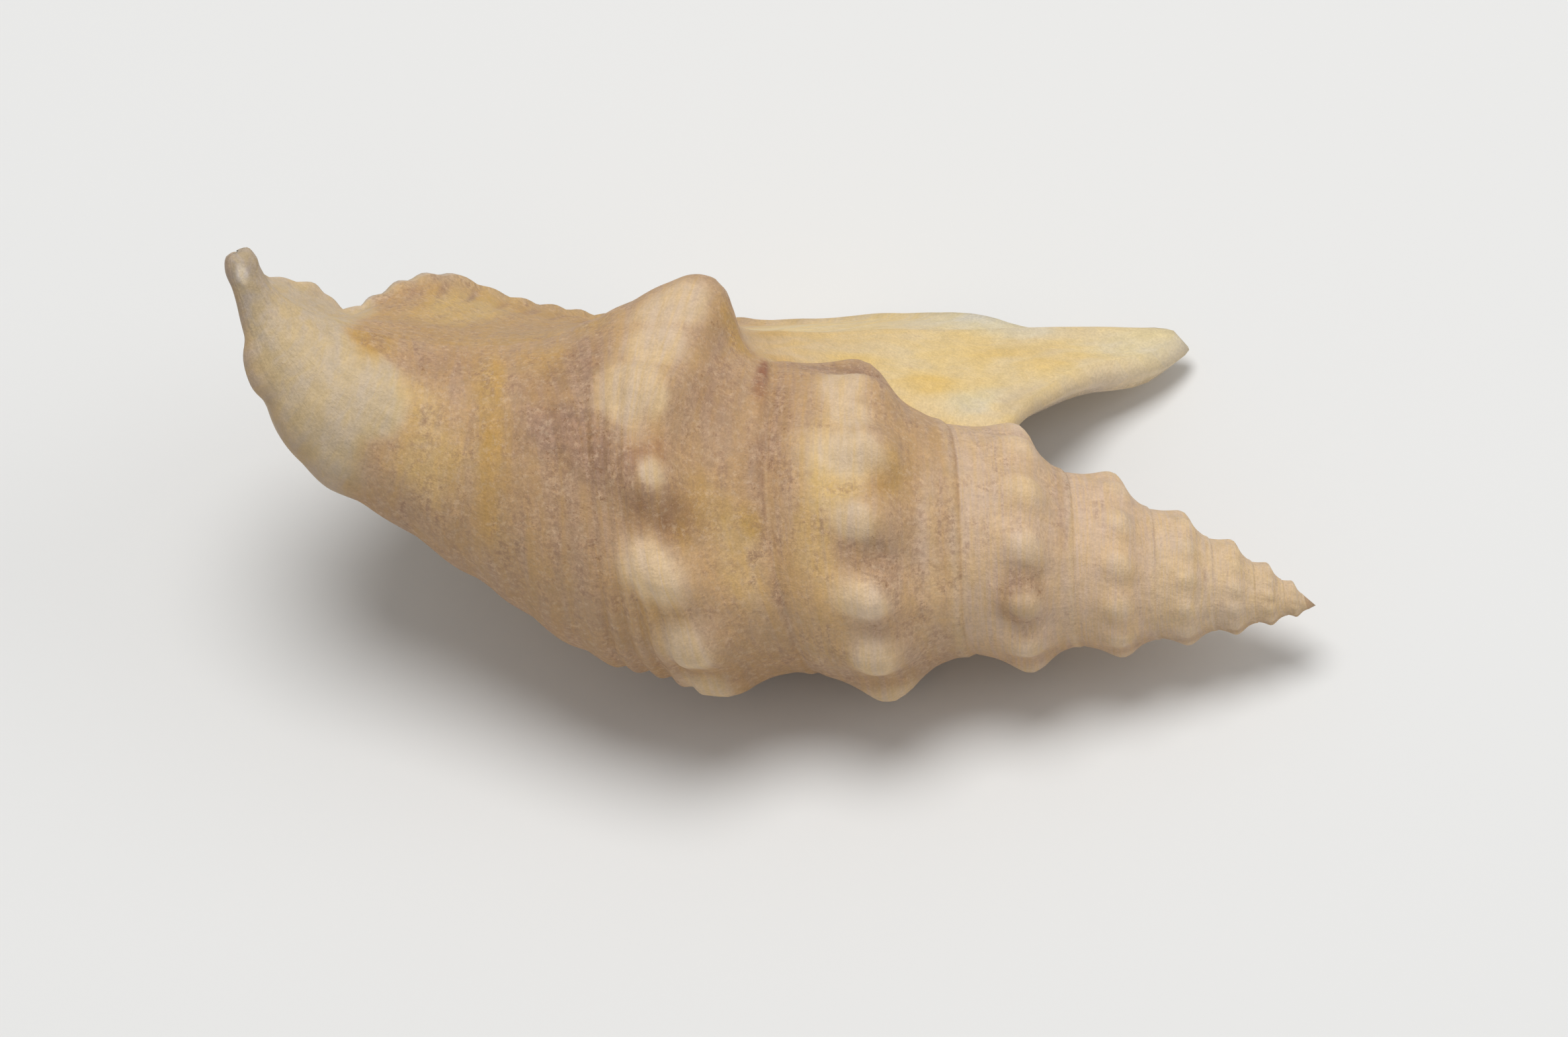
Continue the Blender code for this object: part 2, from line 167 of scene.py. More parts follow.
# Colours, linear
TAN = (0.54, 0.353, 0.190)
CREAM = (0.68, 0.52, 0.335)
CHALK = (0.57, 0.45, 0.290)
OCHRE = (0.56, 0.345, 0.105)
YELLOW = (0.73, 0.52, 0.20)
MAUVE = (0.250, 0.142, 0.088)
ASHEN = (0.40, 0.250, 0.158)
UMBER = (0.270, 0.135, 0.060)
RUST = (0.30, 0.125, 0.065)
SCAR = (0.72, 0.62, 0.49)
ROSE = (0.67, 0.490, 0.325)
GREY = (0.44, 0.36, 0.27)
WING = (0.74, 0.57, 0.295)
BLUISH = (0.66, 0.61, 0.46)
GLAZE = (0.76, 0.62, 0.44)
WARM, COOL = (1.04, 0.985, 0.84, 1.0), (0.98, 0.99, 1.10, 1.0)
TABLE = (0.78, 0.78, 0.77, 1.0)


def smooth(x):
    """0 below 0, 1 above 1, and an S between them."""
    x = np.clip(x, 0.0, 1.0)
    return x * x * (3.0 - 2.0 * x)


def rise(x, start, over):
    """0 up to start, 1 once over has gone by."""
    return smooth((x - start) / over)


def fall(x, start, over):
    """1 up to start, 0 once over has gone by."""
    return 1.0 - rise(x, start, over)


def bell(x, place, width):
    """1 at that place and next to nothing two widths from it."""
    return np.exp(-(((x - place) / width) ** 2))


def bump(t, height, place, width):
    """A swelling of that height."""
    return height * bell(t, place, width)


def unit(ways):
    """The same directions with a length of 1."""
    return ways / np.maximum(np.linalg.norm(ways, axis=-1, keepdims=True), TINY)


def even_level(t):
    """Level of the shoulder if the shell went on growing evenly."""
    return SHOULDER_LEVEL * np.exp(LEVEL_RATE * t) - SHOULDER_START


def shoulder_level(t):
    """The last whorl drops away from the spire, then climbs back to the lip."""
    early = bump(t, EARLY_SAG, EARLY_SAG_AT, EARLY_SAG_WIDTH)
    width = np.where(t < SHOULDER_SAG_AT, SHOULDER_SAG_WIDTH, MOUTH_SAG_WIDTH)
    late = bump(t, SHOULDER_SAG, SHOULDER_SAG_AT, width)
    climb = bump(t, MOUTH_RISE, MOUTH_RISE_AT, MOUTH_RISE_WIDTH)
    return even_level(t) + early + late - climb


def suture_level(t):
    """Level of the seam where whorl t begins."""
    sag = bump(t, SUTURE_SAG, SUTURE_SAG_AT, SUTURE_SAG_WIDTH)
    return SUTURE_LEVEL * np.exp(LEVEL_RATE * t) - SUTURE_START + sag


def shoulder_radius(t):
    """Distance of the shoulder from the axis."""
    swell = bump(t, SWELL, SWELL_AT, SWELL_WIDTH)
    return SHOULDER_RADIUS * np.exp(RADIUS_RATE * t) - RADIUS_START + swell


def core_radius(t, level):
    """The canal's outside on the last whorl, and the columella on the whorl inside it."""
    taper = fall(level, CANAL_TAPER_FROM, CANAL_TAPER_OVER)
    canal = TIP_RADIUS + (CANAL_RADIUS - TIP_RADIUS) * taper
    along = np.clip((level - COLUMELLA_FROM) / (TIP_LEVEL - COLUMELLA_FROM), 0.0, 1.0)
    columella = COLUMELLA_RADIUS + (COLUMELLA_TIP_RADIUS - COLUMELLA_RADIUS) * along
    outside = rise(t, -0.80, 0.32)
    return columella + (canal - columella) * outside


def wall_radius(t, level):
    """Radius below the shoulder, before the knobs."""
    reach = BASE_REACH * np.exp(LEVEL_RATE * t)
    fullness = SIDE_FULLNESS - LATE_SLIMMING * rise(t, -0.45, 0.50)
    q = (level - even_level(t)) / reach  # 0 at the shoulder and 1 where the base ends
    core = core_radius(t, level)
    return core + (shoulder_radius(t) - core) * fall(q, fullness, 1.0 - fullness)


def knob_share(t, level):
    """0 between the shoulder knobs and 1 on their tips."""
    radius = shoulder_radius(t)
    off = level - shoulder_level(t) - LOW_KNOBS * rise(t, -0.33, 0.2)
    spread = np.where(off < 0.0, KNOB_ABOVE, KNOB_BELOW) * radius
    pulse = 0.5 + 0.5 * np.cos(2 * math.pi * KNOBS_PER_WHORL * (t + KNOB_PHASE))
    return pulse * bell(off, 0.0, spread) * fall(t, -0.065, 0.05)


def knobs(t, level):
    """Height of the shoulder knobs above the wall."""
    late = 1.0 - 0.15 * rise(t, -1.0, 0.4) - 0.4 * fall(t, -3.6, 1.0)
    return KNOB_HEIGHT * shoulder_radius(t) * knob_share(t, level) * late


def big_knob(t, level):
    """The largest knob, on the back just before the wing."""
    off = level - shoulder_level(t) - BIG_KNOB_DROP
    spread = np.where(off < 0.0, BIG_KNOB_ABOVE, BIG_KNOB_BELOW)
    height = bump(t, BIG_KNOB_HEIGHT, BIG_KNOB_AT, BIG_KNOB_WIDTH)
    return height * np.exp(-np.abs(off / spread) ** 3)


def ramp_rise(v):
    """The concave shelf from the suture (0) out to the shoulder (1)."""
    return 0.17 * (1.0 - (1.0 - v) ** 5) + 0.83 * v**2.3


def wall_level(t, u):
    """Level of the wall at u on whorl t."""
    top, keel, low = suture_level(t), shoulder_level(t), suture_level(t + 1.0)
    level = top + (keel - top) * np.clip(u, 0.0, 1.0)
    level = level + (low - keel) * np.clip(u - 1.0, 0.0, 1.0)
    return level + (TIP_LEVEL - low) * np.clip(u - 2.0, 0.0, 1.0)


def profile(t, u):
    """Level and radius of the outer wall, with a sharp shoulder."""
    top, keel = suture_level(t), shoulder_level(t)
    v = np.clip(u, 0.0, 1.0)
    level = wall_level(t, u)
    inner = wall_radius(t - 1.0, top)
    ramp = inner + (wall_radius(t, keel) - inner) * ramp_rise(v)
    radius = np.where(u < 1.0, ramp, wall_radius(t, level))
    smooth_side = fall(u, 1.0, 1.0)
    radius = radius + knobs(t, level) * np.where(u < 1.0, v, smooth_side)
    radius = radius + big_knob(t, level) * np.where(u < 1.0, smooth(1.6 * v), smooth_side)
    return level, radius


def spiral(t, u):
    """Point of the outer wall on the spiral, its shoulder worn round, as (level, side, back)."""
    t, u = np.broadcast_arrays(np.asarray(t, float), np.asarray(u, float))
    reach = SHOULDER_ROUNDING * bell(u, 1.0, 0.4)
    level, radius = 0.0, 0.0
    for step, weight in ((-1.6, 0.1), (-0.8, 0.2), (0.0, 0.4), (0.8, 0.2), (1.6, 0.1)):
        near_level, near_radius = profile(t, np.clip(u + step * reach, 0.0, 3.0))
        level = level + weight * near_level
        radius = radius + weight * near_radius
    return around(t, level, radius)


def around(t, level, radius):
    """Point at that level and radius, with the canal end of the axis bent towards the back."""
    angle = math.pi / 2 - 2 * math.pi * t
    bend = np.clip((level - BEND_FROM) / BEND_RADIUS, 0.0, None)
    axis_level = np.where(level > BEND_FROM, BEND_FROM + BEND_RADIUS * np.sin(bend), level)
    axis_back = BEND_RADIUS * (1.0 - np.cos(bend))
    out_side, out_back = radius * np.cos(angle), radius * np.sin(angle)
    return np.stack(
        [axis_level - out_back * np.sin(bend), out_side, axis_back + out_back * np.cos(bend)], -1
    )


def curve(s, start, leave, end, arrive):
    """From start (s = 0) to end (s = 1), leaving and arriving with those slopes."""
    go = (2 * s**3 - 3 * s**2 + 1) * start + (s**3 - 2 * s**2 + s) * leave
    return go + (3 * s**2 - 2 * s**3) * end + (s**3 - s**2) * arrive


def through(u):
    """The lip's place and arrival at u: a smooth curve through the points of LIP."""
    knots = np.array([row[0] for row in LIP])
    rows = np.array([[*row[1], *row[2]] for row in LIP])
    slopes = np.gradient(rows, knots, axis=0)
    k = np.clip(np.searchsorted(knots, u, side="right") - 1, 0, len(knots) - 2)
    gap = knots[k + 1] - knots[k]
    s = ((u - knots[k]) / gap)[:, None]
    gap = gap[:, None]
    value = curve(s, rows[k], gap * slopes[k], rows[k + 1], gap * slopes[k + 1])
    return value[:, :3], value[:, 3:]


def wing(w, u):
    """Outer face past the mouth, one row for each w: along the spiral, then out to the lip."""
    mouth = MOUTH_ROW / ROWS_PER_TURN
    late = rise(u, 0.5, 1.0)
    last = rise(u, 2.5, 0.4)
    early = rise(u, 1.7, 0.4) * fall(u, 2.5, 0.25)
    leave = mouth + 0.02 + 0.10 * late * (1.0 - 0.8 * early)
    share = 0.15 + 0.20 * late + 0.15 * last
    start = spiral(leave, u)
    step = 0.001
    way = unit(spiral(leave + step, u) - spiral(leave - step, u))
    end, arrive = through(u)
    apart = np.linalg.norm(end - start, axis=-1, keepdims=True)
    pull = way * apart * (0.75 - 0.15 * rise(u, 0.4, 0.8))[:, None]
    rows = []
    for value in w:
        on = spiral(mouth + (leave - mouth) * value / share, u)
        s = np.clip((value - share) / (1.0 - share), 0.0, 1.0)[:, None]
        off = curve(s, start, pull, end, arrive)
        rows.append(np.where((value < share)[:, None], on, off))
    return np.array(rows)


def wall_depth(w, u, level):
    """Wall thickness: fuller in the finger, thin at the canal's tip."""
    finger = bell(u, 0.5, 0.34) * rise(w, 0.0, 0.8)
    thin = rise(level, 96.0, 24.0)
    edge = rise(u, 2.6, 0.3) * rise(w, 0.0, 0.5)
    depth = WALL + (FINGER_WALL - WALL) * finger + (TIP_WALL - WALL) * thin
    return depth + (TIP_EDGE - TIP_WALL) * edge


def scramble(cell, seed):
    """A fixed random number from 0 to 1 for each cell."""
    x, y, z = (cell[..., k] * SCRAMBLE_CELL[k] for k in range(3))
    bits = (x ^ y ^ z ^ (seed * SCRAMBLE_SEED)) & ALL_BITS
    bits = (bits ^ (bits >> 15)) * SCRAMBLE_ONE & ALL_BITS
    bits = (bits ^ (bits >> 13)) * SCRAMBLE_TWO & ALL_BITS
    return (bits ^ (bits >> 16)) / ALL_BITS


def noise(points, size, seed):
    """Smooth value noise from -1 to 1 with cells of that size, one value for each point."""
    place = np.asarray(points, float) / size + 1000.0
    cell = np.floor(place).astype(np.int64)
    part = place - cell
    part = part * part * (3.0 - 2.0 * part)
    total = np.zeros(place.shape[:-1])
    for corner in range(8):
        step = np.array([corner & 1, (corner >> 1) & 1, corner >> 2])
        weight = np.prod(np.where(step == 1, part, 1.0 - part), axis=-1)
        total = total + weight * scramble(cell + step, seed)
    return 2.0 * total - 1.0


def clouds(points, size, seed):
    """Three octaves of noise."""
    large = noise(points, size, seed)
    middling = noise(points, size / 2.1, seed + 1)
    return (large + 0.5 * middling + 0.25 * noise(points, size / 4.3, seed + 2)) / 1.4


def cord_count(u):
    """Cords from the shoulder down to u: ridges that run round the shell."""
    side = SIDE_CORDS * np.clip(u - 1.0, -1.0, 1.0)
    return side + BASE_CORDS * np.clip(u - 2.0, 0.0, 1.0)


def cord_wave(u, share):
    """-1 in the grooves and 1 on the cords. A finer cord rises by share between each two."""
    turn = 2 * math.pi * cord_count(u)
    coarse = 2.0 * (0.5 + 0.5 * np.cos(turn)) ** 0.7 - 1.0
    fine = 2.0 * (0.5 + 0.5 * np.cos(2 * turn)) ** 0.7 - 1.0
    return coarse * (1.0 - share) + fine * share


def relief(t, w, u, points):
    """Height of the fine forms over the outer wall, in millimetres."""
    scale = np.clip(shoulder_radius(t) / 21.0, 0.05, 1.0)
    low = rise(u, 1.9, 0.5)
    body = rise(t, -0.95, 0.30) * rise(u, 1.05, 0.35) * (1.0 - 0.35 * low)
    under = 0.30 + 0.70 * fall(t, -0.36, 0.16)
    cords = CORD_HEIGHT * body * under * fall(w, 0.0, 0.4)
    lip = rise(w, 0.78, 0.2) * rise(u, 1.6, 0.4)
    cords = cords + LIP_CORD_HEIGHT * lip
    cords = cords * (1.0 - 0.75 * rise(u, 2.80, 0.12))
    uneven = 0.75 + 0.25 * noise(points, size=9.0, seed=3)
    height = cords * cord_wave(u, rise(w, 0.2, 0.4)) * uneven
    age = t * AGE_PER_WHORL + w * AGE_OF_WING + 0.8 * noise(points, size=14.0, seed=5)
    along = np.stack([age, u * 1.5, 0 * u], -1)
    lines = noise(along, size=1.9, seed=7) + 0.8 * noise(along, size=4.6, seed=8)
    height = height + GROWTH_LINE_HEIGHT * scale * lines
    height = height + DENT_HEIGHT * scale * clouds(points, size=6.5, seed=11)
    collar = bell(u, 0.10, 0.05) - 0.7 * bell(u, 0.26, 0.08)
    height = height + COLLAR_HEIGHT * scale * collar * fall(w, 0.0, 0.2)
    lobe = bump(t, LOBE_HEIGHT, -0.400, 0.050) * np.exp(-np.abs((u - 2.785) / 0.050) ** 4)
    return height + lobe


def relax(plain, rows_t, w, u):
    """Draw the lip's lower half out smooth, so that no valley is left between body and lip."""
    t, w, u = rows_t[:, None], w[:, None], u[None, :]
    before_lip = fall(w, 0.84, 0.12)
    notch = bell(u, 2.655, 0.035) * rise(w, 0.25, 0.3)
    end = fall(u, 2.74, 0.14)
    base = rise(u, 1.60, 0.35) * end * rise(t, -0.09, 0.10)
    side = rise(u, 1.20, 0.30) * end * rise(w, 0.2, 0.2)
    plain = soften(plain, np.maximum(base, side) * (1.0 - notch) * before_lip, RELAX_STEPS)
    base = rise(u, 1.45, 0.20) * rise(t, -0.16, 0.10)
    side = rise(u, 0.85, 0.25) * rise(w, 0.10, 0.12)
    before_notch = fall(u, 2.45, 0.12)
    return soften(plain, np.maximum(base, side) * before_notch * before_lip, SMOOTH_STEPS)


def soften(sheet, share, steps):
    """Move each point of the sheet towards the middle of its four neighbours, step by step."""
    share = 0.5 * share[..., None]
    for _ in range(steps):
        near = sheet.copy()
        rows = sheet[2:, 1:-1] + sheet[:-2, 1:-1]
        near[1:-1, 1:-1] = (rows + sheet[1:-1, 2:] + sheet[1:-1, :-2]) / 4
        sheet = sheet + (near - sheet) * share
    return sheet


def round_tip(points, u):
    """Draw the end of the canal in to a rounded, nearly closed tip."""
    axis = around(np.zeros_like(u), wall_level(0.0, u), np.zeros_like(u))
    s = np.clip((u - TIP_ROUND_FROM) / (3.0 - TIP_ROUND_FROM), 0.0, 1.0)
    size = TIP_HOLE + (1.0 - TIP_HOLE) * (1.0 - s**2.6) ** 0.5
    points = axis + (points - axis) * size[..., None]
    shift = TIP_SHIFT * rise(u, TIP_SHIFT_FROM, 3.0 - TIP_SHIFT_FROM)
    chips = TIP_BREAKS * noise(points, size=1.5, seed=61) * rise(u, 2.93, 0.05)
    return points - shift[..., None] * LEVEL_WAY + chips[..., None] * BREAK_WAY


def lip_waves(w, u, points):
    """How far the lip's edge is drawn out or in: small scallops on an uneven line."""
    wavy = rise(u, 1.35, 0.45) * fall(u, 2.86, 0.1)
    waves = SCALLOP * wavy * cord_wave(u, rise(u, 1.7, 0.3))
    waves = waves + EDGE_WAVER * noise(points, size=7.0, seed=17)
    return waves * rise(w, 0.6, 0.4) ** 2


def spire_u():
    """Columns on the spire, closer together at the suture."""
    ramp = np.linspace(0.0, 1.0, SPIRE_RAMP + 1) ** SUTURE_CROWDING
    return np.concatenate([ramp, 1.0 + np.linspace(0.0, 1.0, SPIRE_SIDE + 1)[1:]])


def full_u():
    """Columns on the last whorl and the wing."""
    ramp = np.linspace(0.0, 1.0, RAMP_COLUMNS + 1)
    side = 1.0 + np.linspace(0.0, 1.0, SIDE_CORDS * COLUMNS_PER_SIDE_CORD + 1)[1:]
    base = 3.0 - np.linspace(1.0, 0.0, BASE_COLUMNS + 1)[1:] ** TIP_CROWDING
    return np.concatenate([ramp, side, base])


class Sheet:
    """The outer wall, and the inner one below it, on a grid of rows and columns."""

    def __init__(self, first, rows, wing_w, columns):
        """Rows of the spiral from the row called first, then one for each w on the wing."""
        self.first, self.u = first, columns
        mouth = np.full(len(wing_w), MOUTH_ROW / ROWS_PER_TURN)
        self.t = np.concatenate([rows / ROWS_PER_TURN, mouth])
        self.w = np.concatenate([np.zeros(len(rows)), wing_w])
        plain = spiral(rows[:, None] / ROWS_PER_TURN, columns[None, :])
        if len(wing_w):
            plain = np.concatenate([plain, wing(wing_w, columns)])
            plain = relax(plain, self.t, self.w, columns)
        t, w, u = np.broadcast_arrays(self.t[:, None], self.w[:, None], columns[None, :])
        along = np.gradient(plain, axis=0)
        out = unit(np.cross(np.gradient(plain, axis=1), along))
        plain = plain + unit(along) * lip_waves(w, u, plain)[..., None]
        height = relief(t, w, u, plain)
        self.outer = plain + out * height[..., None]
        echo = 0.5 * height * rise(w, 0.5, 0.5)
        depth = wall_depth(w, u, plain[..., 0])
        self.inner = plain - out * (depth - echo)[..., None]
        if len(wing_w):
            finger = rise(u, 0.05, 0.15) * fall(u, 1.05, 0.30)
            finger = finger * rise(w, 0.25, 0.15) * fall(w, 0.86, 0.10)
            self.inner = soften(self.inner, finger * 0.6, INNER_STEPS)
            self.outer = round_tip(self.outer, u)
            self.inner = round_tip(self.inner, u)


class Skin:
    """Vertices and faces of the shell as they are laid, with each corner's growth coordinates."""

    def __init__(self, spire, full):
        self.spire, self.full = spire, full
        self.points, self.growth, self.inside = [], [], []
        self.faces, self.corners = [], []
        self.seen = {}

    def add(self, key, point, growth, inside):
        """The number of the vertex with that key, laid now if it is new."""
        if key not in self.seen:
            self.seen[key] = len(self.points)
            self.points.append(point)
            self.growth.append(growth)
            self.inside.append(inside)
        return self.seen[key]

    def sheet(self, i):
        """The sheet that row i is on."""
        return self.full if i >= FULL_ROW else self.spire

    def coordinates(self, i, j):
        """Growth coordinates (t, w, u) of row i and column j."""
        sheet = self.sheet(i)
        row = i - sheet.first
        return sheet.t[row], sheet.w[row], sheet.u[j]

    def out(self, i, j):
        """Outer vertex. Up to the mouth, column 0 is the suture on the whorl before."""
        if j == 0 and FIRST_ROW + ROWS_PER_TURN <= i <= MOUTH_ROW:
            i = i - ROWS_PER_TURN
            j = SIDE_FULL if i >= FULL_ROW else SIDE_SPIRE
        sheet = self.sheet(i)
        where = self.coordinates(i, j)
        return self.add(("outer", i, j), sheet.outer[i - sheet.first, j], where, inside=0.0)

    def back(self, i, j):
        """Inner vertex. Up to the mouth, column 0 lies on the whorl before."""
        if j == 0 and i <= MOUTH_ROW:
            return self.out(i - ROWS_PER_TURN, SIDE_FULL + 1)
        sheet = self.full
        where = self.coordinates(i, j)
        return self.add(("inner", i, j), sheet.inner[i - sheet.first, j], where, inside=1.0)

    def face(self, corners, growth):
        """A face over those vertices, each with its growth; one that comes twice counts once."""
        kept = []
        for corner, where in zip(corners, growth):
            if corner not in [k[0] for k in kept]:
                kept.append((corner, where))
        if len(kept) > 2:
            self.faces.append([k[0] for k in kept])
            self.corners.extend(k[1] for k in kept)

    def quad(self, side, i, j):
        """One cell of a sheet, facing out of the shell's wall."""
        cells = [(i, j), (i + 1, j), (i + 1, j + 1), (i, j + 1)]
        if side == "inner":
            cells = cells[::-1]
            corners = [self.back(a, b) for a, b in cells]
        else:
            corners = [self.out(a, b) for a, b in cells]
        self.face(corners, [self.coordinates(a, b) for a, b in cells])

    def band(self, one, two):
        """Triangles between two rows of vertices, each a list of (place along, vertex, growth)."""
        a, b = 0, 0
        while a < len(one) - 1 or b < len(two) - 1:
            go_one = b >= len(two) - 1 or (a < len(one) - 1 and one[a + 1][0] <= two[b + 1][0])
            third = one[a + 1] if go_one else two[b + 1]
            trio = (two[b], third, one[a])
            self.face([k[1] for k in trio], [k[2] for k in trio])
            if go_one:
                a += 1
            else:
                b += 1

    def strip(self, corners, growth):
        """A face with the same growth at every corner."""
        self.face(corners, [growth] * len(corners))


def grow():
    """All faces of the closed shell."""
    w = np.arange(1, LIP_STEPS + 1) / LIP_STEPS
    spire = Sheet(FIRST_ROW, np.arange(FIRST_ROW, FULL_ROW), np.array([]), spire_u())
    full = Sheet(FULL_ROW, np.arange(FULL_ROW, MOUTH_ROW + 1), w, full_u())
    skin = Skin(spire, full)

    for i in range(FIRST_ROW, FULL_ROW - 1):
        for j in range(SIDE_SPIRE):
            skin.quad("outer", i, j)
    join_grids(skin)
    for i in range(FULL_ROW, LAST_ROW):
        for j in range(END_FULL):
            if j != SIDE_FULL or i >= MOUTH_ROW - ROWS_PER_TURN:
                skin.quad("outer", i, j)

    for i in range(THROAT_ROW, LAST_ROW):
        for j in range(END_FULL):
            skin.quad("inner", i, j)
        outer = (skin.out(i, END_FULL), skin.out(i + 1, END_FULL))
        inner = (skin.back(i + 1, END_FULL), skin.back(i, END_FULL))
        skin.strip(outer + inner, skin.coordinates(i, END_FULL))

    for i in range(MOUTH_ROW, LAST_ROW):
        edge = (skin.back(i, 0), skin.back(i + 1, 0), skin.out(i + 1, 0), skin.out(i, 0))
        skin.strip(edge, skin.coordinates(i, 0))

    close_lip(skin)
    close_throat(skin)
    close_ends(skin)
    return skin


def join_grids(skin):
    """The band where the spire's columns meet the last whorl's."""
    rows = []
    for i, side in ((FULL_ROW - 1, SIDE_SPIRE), (FULL_ROW, SIDE_FULL)):
        u = skin.sheet(i).u
        rows.append([(u[j], skin.out(i, j), skin.coordinates(i, j)) for j in range(side + 1)])
    skin.band(rows[0], rows[1])


def close_lip(skin):
    """The rounded edge of the mouth, from the spire to the canal's tip."""
    full = skin.full
    row = LAST_ROW - full.first
    front = unit(full.outer[row] - full.outer[row - 1])
    middle = (full.outer[row] + full.inner[row]) / 2
    thick = np.linalg.norm(full.outer[row] - full.inner[row], axis=-1, keepdims=True)
    middle = middle + front * thick * LIP_ROUNDING
    rim = []
    for j in range(END_FULL + 1):
        rim.append(skin.add(("rim", j), middle[j], skin.coordinates(LAST_ROW, j), inside=0.5))
    for j in range(END_FULL):
        where = skin.coordinates(LAST_ROW, j)
        skin.strip((skin.out(LAST_ROW, j), rim[j], rim[j + 1], skin.out(LAST_ROW, j + 1)), where)
        skin.strip((rim[j], skin.back(LAST_ROW, j), skin.back(LAST_ROW, j + 1), rim[j + 1]), where)
    where = skin.coordinates(LAST_ROW, 0)
    skin.strip((skin.out(LAST_ROW, 0), skin.back(LAST_ROW, 0), rim[0]), where)
    where = skin.coordinates(LAST_ROW, END_FULL)
    skin.strip((skin.out(LAST_ROW, END_FULL), rim[-1], skin.back(LAST_ROW, END_FULL)), where)


def close_throat(skin):
    """The cross wall deep in the mouth where the hollow stops."""
    u = skin.full.u
    near = []
    for j in range(SIDE_FULL + 1, END_FULL + 1):
        near.append((3.0 * (u[j] - 2.0), skin.out(FULL_ROW, j), skin.coordinates(FULL_ROW, j)))
    far = []
    for j in range(1, END_FULL + 1):
        far.append((u[j], skin.back(THROAT_ROW, j), skin.coordinates(THROAT_ROW, j)))
    skin.band(far, near)


def close_ends(skin):
    """Close the apex above the first whorl and the solid column at the canal's tip."""
    where = skin.coordinates(FIRST_ROW, 0)
    apex = skin.add("apex", np.zeros(3), where, inside=0.0)
    top = [skin.out(FIRST_ROW + k, 0) for k in range(ROWS_PER_TURN + 1)]
    for a, b in zip(top, top[1:]):
        skin.strip((b, a, apex), where)
    for j in range(SIDE_SPIRE):
        skin.strip((apex, skin.out(FIRST_ROW, j), skin.out(FIRST_ROW, j + 1)), where)
    tip = [skin.out(i, END_FULL) for i in range(FULL_ROW, THROAT_ROW + 1)]
    tip.append(skin.back(THROAT_ROW, END_FULL))
    where = skin.coordinates(THROAT_ROW, END_FULL)
    middle = np.mean([skin.points[k] for k in tip], axis=0)
    centre = skin.add("tip", middle, where, inside=0.0)
    for a, b in zip(tip, tip[1:] + tip[:1]):
        skin.strip((a, b, centre), where)


def lie():
    """The turn that lays the shell down on its mouth."""
    roll = Matrix.Rotation(math.radians(ROLL), 3, "X")
    return Matrix.Rotation(math.radians(PITCH), 3, "Y") @ roll


def settle(points):
    """World points in metres. The solid's apex, its point farthest along X, fixes the place."""
    turned = (np.array(points) * (-1.0, 1.0, 1.0)) @ np.array(lie()).T * MM
    apex = max((v.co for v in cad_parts["shell"].data.vertices), key=lambda co: co.x)
    return turned + np.array(apex)


def mixed(colour, other, share):
    """The colour of each point with that share of another."""
    share = np.clip(share, 0.0, 1.0)[:, None]
    return colour * (1.0 - share) + np.array(other) * share


